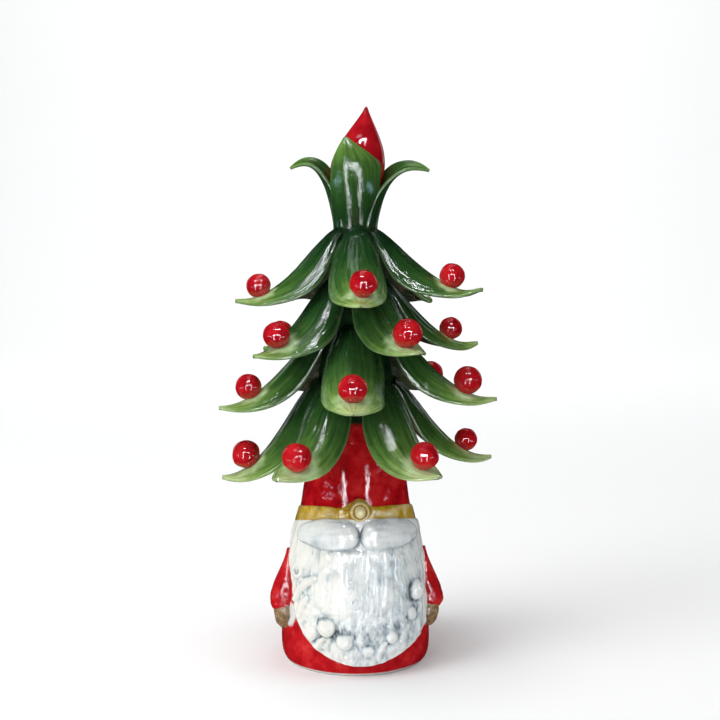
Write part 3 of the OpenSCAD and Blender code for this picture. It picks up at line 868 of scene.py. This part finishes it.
def add_sleeve(side, material):
    """A sleeve that hangs from under the cheek and swells to a lumpy bell cuff."""
    rows, columns = 90, 96
    name = SIDE_NAME[side]
    turn = circle(columns)
    points = []
    for s in np.linspace(0, 1, rows):
        z = mix(68.0, 30.0, s)
        swell = mix(2.0, 9.4, float(smooth(s / 0.80)))
        swell *= math.sqrt(max(0.0, 1 - max(0.0, (s - 0.84) / 0.16) ** 2) * 0.94 + 0.06)
        centre = float(body_r(z)) + mix(1.6, 0.2, s)
        cuff = float(smooth((s - 0.45) / 0.3))
        lump = (0.9 * fbm(np.cos(turn) * 1.5, np.sin(turn) * 1.5, s * 5, 61 + side)
                + 0.35 * noise(np.cos(turn) * 4, np.sin(turn) * 4, s * 12, 63 + side)) * cuff
        out = (swell * 0.92 + lump) * np.cos(turn)
        across = (swell * 1.04 + lump) * np.sin(turn)
        angle = math.radians(BODY_TURN + side * ARM_AZ) + side * across / centre
        points.append(around(centre + out, angle, z + 0.5 * lump))
    faces = tube_faces(rows, columns, flip=side > 0)
    zeros = np.zeros(rows * columns)
    node = "sleeve_" + name
    return add_piece(node + "_glazed", np.concatenate(points), faces, material, [node],
                     {"bare": zeros, "white": zeros})


def add_mitten(side, material):
    """A small mitten that shows under the cuff, with its thumb to the front."""
    rows, columns = 56, 64
    name = SIDE_NAME[side]
    turn = circle(columns)
    points = []
    for s in np.linspace(0, 1, rows):
        z = mix(36.0, 20.4, s)
        size = 6.2 * math.sqrt(max(0.0, 1 - max(0.0, (s - 0.25) / 0.75) ** 2.2) + 0.004)
        thumb = 1.4 * bump(turn, 1.55 * math.pi, 0.6) * math.exp(-(((s - 0.42) / 0.16) ** 2))
        dent = 0.4 * fbm(np.cos(turn) * 2, np.sin(turn) * 2, s * 4, 71 + side)
        out = (size + dent) * np.cos(turn)
        across = (size * 1.08 + thumb + dent) * np.sin(turn)
        centre = float(body_r(z)) + 0.9 - 1.2 * s
        angle = math.radians(BODY_TURN + side * (ARM_AZ - 4)) + side * across / centre
        points.append(around(centre + out, angle, z + 0 * out))
    faces = tube_faces(rows, columns, flip=side > 0)
    node = "mitten_" + name
    return add_piece(node + "_glazed", np.concatenate(points), faces, material, [node])


# ---- Leaves, berries, calyx, bud ----

def root_angles(leaves, i):
    """Half angles of a leaf's root towards its two neighbours, in degrees."""
    before = (leaves[i][0] - leaves[i - 1][0]) % 360
    after = (leaves[(i + 1) % len(leaves)][0] - leaves[i][0]) % 360
    return [min(34.0, gap / 2 - ROOT_CLEAR) for gap in (before, after)]


def leaf_path(tier, i):
    below, tip, drop, leaves = TIERS[tier]
    z0 = NECK_Z - below
    r0 = float(hat_r(z0)) - 0.6
    drop = drop + leaves[i][1]
    reach = tip + leaves[i][2] - r0
    return [(r0, z0), (r0 + 0.2 * reach, z0 - 0.1 * drop), (r0 + 0.5 * reach, z0 - 1.03 * drop),
            (r0 + reach, z0 - drop)]


def blade(path, half_width, half_angle, mid_t, rim_t, azimuth, seed, along=92, top=84, lean=0.0, groove=0.42,
          wavy=0.05, tip_lift=0.0, roll=0.0, lip=0.0):
    """A curved clay blade: grooved on top, with rounded rims.

    Returns its points, the values at them, and its numbers of rows and columns.

    half_width and half_angle give one column per side of the midrib, first the side of smaller azimuth.
    """
    bottom = 36
    s = np.linspace(0, 1, along) ** 0.96
    spine = bezier(path, s)
    d = bezier_dir(path, s)
    normal = np.stack([-d[:, 1], d[:, 0]], -1)
    # Across the top the points run rim to rim, then back underneath.
    u_top = -np.cos(np.linspace(0, np.pi, top))
    u_bottom = np.cos(np.linspace(0, np.pi, bottom + 2)[1:-1])
    u = np.concatenate([u_top, u_bottom])
    face = np.concatenate([np.ones(top), -np.ones(bottom)])
    S, U = np.meshgrid(s, u, indexing="ij")
    FACE = np.broadcast_to(face, S.shape)
    pick = (U > 0).astype(int)
    row = np.arange(len(s))[:, None]
    away = smooth(S * 4)
    width = half_width(s)[row, pick]
    width = width * (1 + wavy * noise(S * 5 + 3 * np.sign(U), 2.0 + 0 * U, 0, seed) * away)
    angle = np.radians(half_angle(s))[row, pick]
    angle = angle * (1 + 0.07 * noise(S * 3, np.sign(U) * 4.0, 0, seed + 1) * away)
    bend = width / np.where(np.abs(angle) < 0.02, 0.02, angle)
    half_t = (rim_t + (mid_t - rim_t) * (1 - U * U)) / 2 * (1 - 0.5 * S ** 4) * (1 + 0.35 * np.exp(-S / 0.03))
    # The rim is rounded: both faces close in over the last part of the width.
    rim_zone = np.sqrt(np.clip(1 - np.clip((np.abs(U) - 0.90) / 0.10, 0, 1) ** 2, 0, 1))
    warp = 0.5 * noise(S * 3, U * 2, 0, seed + 2)
    streak = 0.46 * noise(U * 8 + warp, S * 2.2, 0, seed + 3)
    streak = streak + 0.34 * noise(U * 17 + 2 * warp, S * 3.6, 0, seed + 4)
    streak = streak + 0.20 * noise(U * 34 + 3 * warp, S * 6.0, 0, seed + 7)
    ripple = 0.25 * noise(U * 5, S * 22, 0, seed + 8) * smooth(1.2 - S)
    rough = groove * (streak + ripple) * (FACE > 0) * smooth(S * 12)
    rough = rough * smooth((1 - np.abs(U)) * 7) * (1 - 0.6 * S ** 3)
    broad = 0.45 * fbm(U * 1.4, S * 3.0, 0, seed + 5, 2) * smooth(S * 6) * (1 - U * U)
    thick_rim = lip * bump(np.abs(U), 0.97, 0.07) * smooth(S * 3) * (FACE > 0)
    offset = FACE * half_t * rim_zone + rough + broad + thick_rim
    turned = angle * U
    across = (bend + offset) * np.sin(turned)
    up = (bend + offset) * np.cos(turned) - bend
    rolled = np.radians(roll) * smooth(S * 1.6)
    cos, sin = np.cos(rolled), np.sin(rolled)
    across, up = across * cos - up * sin, across * sin + up * cos
    up = up + tip_lift * smooth((S - 0.80) / 0.20) ** 2
    x = across + lean * S ** 2 + 0.8 * noise(S * 2.2, 5.0, 0, seed + 6) * S
    r = spine[:, 0][:, None] + normal[:, 0][:, None] * up
    z = spine[:, 1][:, None] + normal[:, 1][:, None] * up
    points = turn_z(np.stack([x, -r, z], -1).reshape(-1, 3), azimuth)
    rim = smooth((np.abs(U) - 0.88) / 0.10) * smooth(S * 3) * (FACE > 0)
    rim = rim + smooth((np.abs(U) - 0.95) / 0.05) * (FACE < 0)
    rim = np.clip(rim + smooth((S - 0.97) / 0.03), 0, 1)
    values = {
        "along": S.ravel(),
        "across": U.ravel(),
        "number": np.full(S.size, seed * 0.73),
        "rim": rim.ravel(),
        "tooled": np.ones(S.size),
        "under": ((FACE < 0) & (np.abs(U) < 0.96)).astype(float).ravel(),
    }
    return points, values, len(s), len(u)


def tier_half_width(root_w, share):
    """Half widths of a tree leaf, one column per side; root_w gives the two root half widths."""
    full = LEAF_W / 2 * share

    def half(s):
        falling = mix(0.05, 1, np.clip(1 - np.clip(2 * s - 1, 0, 1) ** 2.3, 0, 1) ** 0.9) * full
        return np.stack([np.where(s < 0.5, mix(w, full, s + smooth(2 * s) / 2), falling) for w in root_w], -1)
    return half


def tier_half_angle(root_a):
    def angle(s):
        outer = mix(LEAF_CURL, 0.31 * LEAF_CURL, smooth(2 * s - 1))
        return np.stack([np.where(s < 0.5, mix(a, LEAF_CURL, smooth(2 * s)), outer) for a in root_a], -1)
    return angle


def berry_centre(tier, i):
    spec = TIERS[tier][3][i]
    diameter = BERRY_D * spec[3]
    path = leaf_path(tier, i)
    m = bezier(path, spec[4])
    d = bezier_dir(path, spec[4])
    up = LEAF_T / 2 - BERRY_SINK + diameter / 2
    centre = np.array([spec[5], -(m[0] - d[1] * up), m[1] + d[0] * up])
    seat = np.array([spec[5], -m[0], m[1]])
    return turn_z(centre, spec[0]), turn_z(seat, spec[0]), diameter


# How far the pale tip reaches up a leaf, per tier from the top, and for the leaves that differ.
PALE_SHIFT = [-0.04, -0.05, -0.01, 0.04]
PALE_LEAF = {(0, 1): -0.12, (0, 4): -0.04, (1, 0): -0.07, (2, 1): 0.02, (3, 2): 0.07, (3, 3): 0.05}
# Leaves that differ: (tier, leaf) to share of the width and lift of the tip in mm.
LEAF_FORM = {
    (0, 0): (0.97, -1.0), (0, 1): (1.0, 3.2), (0, 4): (1.0, 0.9), (1, 0): (1.02, 0.4), (1, 1): (1.02, 0.8),
    (1, 2): (1.0, 1.8), (2, 0): (1.0, 0.5), (2, 1): (1.08, -1.2), (2, 2): (1.0, 1.4), (3, 0): (1.0, 0.4),
    (3, 1): (1.02, 0.6), (3, 2): (1.03, 1.2), (3, 3): (1.0, 0.6),
}


def add_tree(leaf_mat, berry_mat):
    for tier, (_, _, _, leaves) in enumerate(TIERS):
        for i, spec in enumerate(leaves):
            path = leaf_path(tier, i)
            root_a = root_angles(leaves, i)
            root_w = [(path[0][0] + 0.6) * math.radians(a) for a in root_a]
            share, lift = LEAF_FORM.get((tier, i), (1.0, 0.8))
            seed = 100 + 40 * tier + 7 * i
            points, values, rows, columns = blade(
                path, tier_half_width(root_w, share), tier_half_angle(root_a), LEAF_T, RIM_T, spec[0], seed,
                tip_lift=lift, lip=0.05)
            centre, seat, diameter = berry_centre(tier, i)
            # The pale patch round the seat is partly slip and partly painted light against the berry's
            # shadow.
            distance = np.linalg.norm(points - seat, axis=1)
            wobble = noise(points[:, 0] * 0.3, points[:, 1] * 0.3, points[:, 2] * 0.3, seed)
            seat_slip_and_painted_light = 1 - smooth((distance / diameter - 0.36 - 0.08 * wobble) / 0.42)
            values["seat_slip_and_painted_light"] = np.clip(seat_slip_and_painted_light * (1 + 0.3 * wobble), 0, 1)
            values["along"] = values["along"] + PALE_SHIFT[tier] + PALE_LEAF.get((tier, i), 0.0)
            number = f"tier{tier + 1}_leaf{i + 1}"
            faces = tube_faces(rows, columns, flip=True)
            add_piece(number + "_glazed", points, faces, leaf_mat, [number], values)
            add_berry(tier, i, centre, seat, diameter, berry_mat, seed)


def add_berry(tier, i, centre, seat, diameter, material, seed):
    """A hand-rolled berry: slightly squashed, with a small foot of slip where it meets the leaf."""
    rows, columns = 36, 56
    polar = np.linspace(0, np.pi, rows)
    turn = circle(columns)
    P, T = np.meshgrid(polar, turn, indexing="ij")
    unit = np.stack([np.sin(P) * np.cos(T), np.sin(P) * np.sin(T), np.cos(P)], -1)
    dent = 0.060 * fbm(unit[..., 0] * 1.3 + seed, unit[..., 1] * 1.5, unit[..., 2] * 1.5, seed, 2)
    fine = 0.006 * noise(unit[..., 0] * 5, unit[..., 1] * 5, unit[..., 2] * 5, seed + 1)
    down = Vector(seat - centre).normalized()
    # The mesh's own pole points away from the leaf; the foot flares round the seat.
    foot = 0.05 * np.exp(-(((P - 2.62) / 0.16) ** 2))
    radius = diameter / 2 * (1 - 0.01 + dent + fine + foot)
    squash = 0.97
    local = unit * radius[..., None]
    local[..., 2] *= squash
    rotation = np.array((-down).to_track_quat("Z", "Y").to_matrix())
    points = local.reshape(-1, 3) @ rotation.T + centre
    number = f"tier{tier + 1}_berry{i + 1}"
    faces = tube_faces(rows, columns, flip=True)
    add_piece(number + "_glazed", points, faces, material, [number])


HUG_R = BUD_R + 0.6 + CALYX_T / 2


def hug_path(height):
    return [(NECK_R + CALYX_T / 2 - 0.3, CALYX_Z), (NECK_R + 5, CALYX_Z + 0.3 * height),
            (HUG_R + 5.5, CALYX_Z + 0.62 * height), (HUG_R - 2.6, CALYX_Z + height)]


def arch_path(out, height):
    return [(NECK_R + CALYX_T / 2 + 0.9, CALYX_Z), (NECK_R + 5 + 0.03 * out, CALYX_Z + 0.83 * height),
            (NECK_R + 0.42 * out, CALYX_Z + 1.3 * height), (NECK_R + out, CALYX_Z + height)]


def both(widths):
    """The same half widths on both sides of the midrib."""
    return widths, widths


# Places along a calyx leaf where its half widths are given.
CALYX_STATIONS = [0, 0.25, 0.5, 0.68, 0.78, 0.86, 0.93, 1]
# Calyx leaves: azimuth, midrib, half widths on both sides, section half angle at root and tip,
# sideways lean, roll towards the front, share of the grey underside colour shown near the tip, a painted
# reflection.
CALYX = {
    "front": (4, hug_path(50), ([14.2, 15.9, 15.4, 13.0, 11.0, 8.4, 5.2, 0.9],
                                [12.0, 14.0, 17.2, 20.0, 18.6, 13.6, 7.6, 0.9]), 48, 46, -7, 0, 0),
    "back": (182, hug_path(44), both([13.0, 14.5, 15.5, 14.5, 12.5, 9.6, 6.0, 0.9]), 48, 46, 4, 0, 0),
    "left": (-92, arch_path(29, 33), both([12.0, 12.0, 11.0, 9.6, 8.4, 6.6, 4.0, 0.7]), 46, 18, 0, -16, 0.75),
    "right": (88, arch_path(34, 31.5), ([12.0, 12.0, 11.4, 9.6, 8.2, 6.4, 4.2, 0.7],
                                        [12.0, 12.0, 8.4, 6.2, 5.6, 4.6, 3.2, 0.7]), 46, 18, 0, 26, 0.75),
}


def add_calyx(material):
    for number, (side, spec) in enumerate(CALYX.items()):
        azimuth, path, widths, root_a, tip_a, lean, roll, bare = spec

        def half(s):
            ended = smooth((1.02 - s) / 0.03 + 0.05)
            rows = [moving_average(np.interp(s, CALYX_STATIONS, w), 3) * ended for w in widths]
            return np.stack(rows, -1)

        def angle(s):
            one = -mix(root_a, tip_a, smooth(s))
            return np.stack([one, one], -1)

        start = (path[0][0] - 1.0, path[0][1] - 2.4)
        points, values, rows, columns = blade(
            [start] + path[1:], half, angle, CALYX_T, CALYX_T * 0.7, azimuth, 400 + 9 * number,
            lean=lean, groove=0.14, wavy=0.02, roll=roll, lip=0.1)
        # The outside is the face turned away from the bud, so it carries the brushed colour too; towards the
        # tip of the arching leaves it takes the grey underside colour, a painted reflection.
        values["under"] = values["under"] * smooth((values["along"] - 0.42) / 0.2) * bare
        values["along"] = 0.20 + 0.56 * values["along"]
        values["seat_slip_and_painted_light"] = np.zeros(len(points))
        values["tooled"] = np.full(len(points), 0.1)
        node = f"calyx_{side}"
        faces = tube_faces(rows, columns, flip=True)
        add_piece(node + "_glazed", points, faces, material, [node], values)


def add_bud(material):
    """The bud: a full belly drawn out to a thin tip that leans to the right."""
    rows, columns = 110, 96
    turn = circle(columns)
    points = []
    for u in np.linspace(0, 1, rows):
        if u < 0.45:
            radius = mix(NECK_R, BUD_R, math.sin(math.pi / 2 * u / 0.45))
        else:
            radius = mix(0.045, 1, math.cos(math.pi / 2 * (u - 0.45) / 0.55) ** 1.25) * BUD_R
        if u > 0.985:
            radius *= math.sqrt(max(0.02, 1 - ((u - 0.985) / 0.015) ** 2))
        z = NECK_Z - 1 + 66.7 * u
        shift = 6.4 * smooth(u) * u
        dent = 0.25 * fbm(np.cos(turn) * 1.3, np.sin(turn) * 1.3, u * 4, 81) * min(1, radius / 6)
        points.append(np.stack([shift + (radius + dent) * np.sin(turn), -(radius + dent) * np.cos(turn),
                                np.full(columns, z)], -1))
    faces = tube_faces(rows, columns)
    return add_piece("bud_glazed", np.concatenate(points), faces, material, ["bud"])


# ---- Stage, lights, camera ----

def add_stage():
    """A plain pale sweep: a floor that curves up into a backdrop."""
    material, _, shader = new_material("sweep_white")
    shader.inputs["Base Color"].default_value = (0.94, 0.94, 0.94, 1)
    shader.inputs["Roughness"].default_value = 0.95
    shader.inputs["Specular IOR Level"].default_value = 0.0
    profile = [(-3.0, 0.0), (2.0, 0.0)]
    quarter = np.linspace(0, math.pi / 2, 30)[1:]
    profile += [(2.0 + 1.2 * math.sin(a), 1.2 - 1.2 * math.cos(a)) for a in quarter]
    profile += [(3.2, 5.0)]
    points, faces = [], []
    for y, z in profile:
        points += [(-5, y, z), (5, y, z)]
    for k in range(len(profile) - 1):
        faces.append([2 * k, 2 * k + 1, 2 * k + 3, 2 * k + 2])
    mesh = bpy.data.meshes.new("sweep")
    mesh.from_pydata(points, [], faces)
    mesh.polygons.foreach_set("use_smooth", [True] * len(mesh.polygons))
    mesh.materials.append(material)
    stage = bpy.data.objects.new("sweep", mesh)
    bpy.context.scene.collection.objects.link(stage)
    stage.visible_glossy = False


def add_light(name, place_m, target_m, size, power, colour=(1, 1, 1), sheen=False):
    """A rectangular lamp. A sheen lamp only shows as a highlight, the others only shed soft light."""
    light = bpy.data.lights.new(name, "AREA")
    light.shape = "RECTANGLE"
    light.size, light.size_y = size
    light.energy = power
    light.color = colour
    lamp = bpy.data.objects.new(name, light)
    lamp.location = place_m
    lamp.rotation_euler = (Vector(target_m) - Vector(place_m)).to_track_quat("-Z", "Y").to_euler()
    lamp.visible_camera = False
    lamp.visible_glossy = sheen
    lamp.visible_diffuse = not sheen
    bpy.context.scene.collection.objects.link(lamp)
    return lamp


def add_lights():
    """Soft daylight from all round, a window frame of thin strips in front and a row of small lamps above."""
    centre = (0.0, 0.0, 0.16)
    add_light("soft_left", (-1.1, -0.75, 0.9), centre, (0.8, 0.8), 11.0)
    add_light("soft_right", (1.2, -0.5, 0.8), centre, (1.0, 1.0), 1.2)
    add_light("soft_top", (-0.2, -0.2, 1.4), centre, (0.9, 0.9), 8.0)
    add_light("front_fill", (-0.5, -1.5, 0.4), centre, (1.2, 1.2), 3.6)
    add_light("backdrop_wash", (0.0, 1.3, 2.0), (0.0, 3.2, 0.4), (3.0, 0.8), 34.0)
    cool = (0.93, 0.96, 1.0)
    for k in range(5):
        add_light(f"slat_{k}", (-0.25 + 0.1 * k, -0.5 + 0.32 * k, 1.3), centre, (0.5, 0.03), 0.45, cool, True)
    add_light("strip_top", (0.02, -0.62, 0.325), (0.02, 0, 0.2), (0.62, 0.036), 3.2, cool, True)
    for name, x in (("strip_left", -0.27), ("strip_right", 0.31)):
        add_light(name, (x, -0.62, 0.05), (0, 0, 0.1), (0.034, 0.52), 1.9, cool, True)
    for k in range(5):
        add_light(f"dash_{k}", (-0.34 + 0.15 * k, -0.42, 0.85), (0, 0, 0.2), (0.075, 0.018), 0.9, cool, True)
    blue = (0.5, 0.78, 1.0)
    for side in (-1, 1):
        add_light(f"blue_{side}", (side * 0.75, -0.45, 0.06), (0, 0, 0.15), (0.45, 0.04), 0.8, blue, True)
        add_light(f"window_{side}", (side * 0.7, 0.9, 0.45), centre, (0.3, 0.7), 0.5, cool, True)
    world = bpy.data.worlds.new("daylight")
    bpy.context.scene.world = world
    world.use_nodes = True
    background = world.node_tree.nodes["Background"]
    background.inputs["Color"].default_value = (0.97, 0.985, 1, 1)
    background.inputs["Strength"].default_value = 0.40
    world.cycles_visibility.glossy = False


CAMERA_AT = (0.00269, -0.799, 0.2571)
CAMERA_DOWN = 5.5
CAMERA_LENS = 67.15


def add_camera():
    """The camera looks down on the figure a little, from straight in front of the tree."""
    data = bpy.data.cameras.new("camera")
    data.sensor_width = 36
    data.lens = CAMERA_LENS
    camera = bpy.data.objects.new("camera", data)
    camera.location = CAMERA_AT
    camera.rotation_euler = (math.radians(90 - CAMERA_DOWN), 0, 0)
    bpy.context.scene.collection.objects.link(camera)
    bpy.context.scene.camera = camera


def main():
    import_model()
    bpy.context.scene.view_settings.view_transform = "Standard"
    add_camera()
    add_stage()
    add_lights()

    leaf_mat = leaf_material()
    berry_mat = red_glaze("berry_red_glaze", (0.26, 0.003, 0.007), (0.45, 0.008, 0.014), (0.60, 0.018, 0.022))
    bud_mat = red_glaze("bud_red_glaze", (0.22, 0.003, 0.006), (0.36, 0.006, 0.012), (0.50, 0.016, 0.020),
                        scale=0.07)
    white = white_material()
    gold = gold_material()
    robe = robe_material()
    brown = brown_material()

    add_robe(robe)
    add_hat(hat_material())
    add_band(gold)
    add_boss(gold)
    add_beard(white)
    for side in (-1, 1):
        add_moustache(side, white)
        add_sleeve(side, robe)
        add_mitten(side, brown)
    add_tree(leaf_mat, berry_mat)
    add_calyx(leaf_mat)
    add_bud(bud_mat)


main()
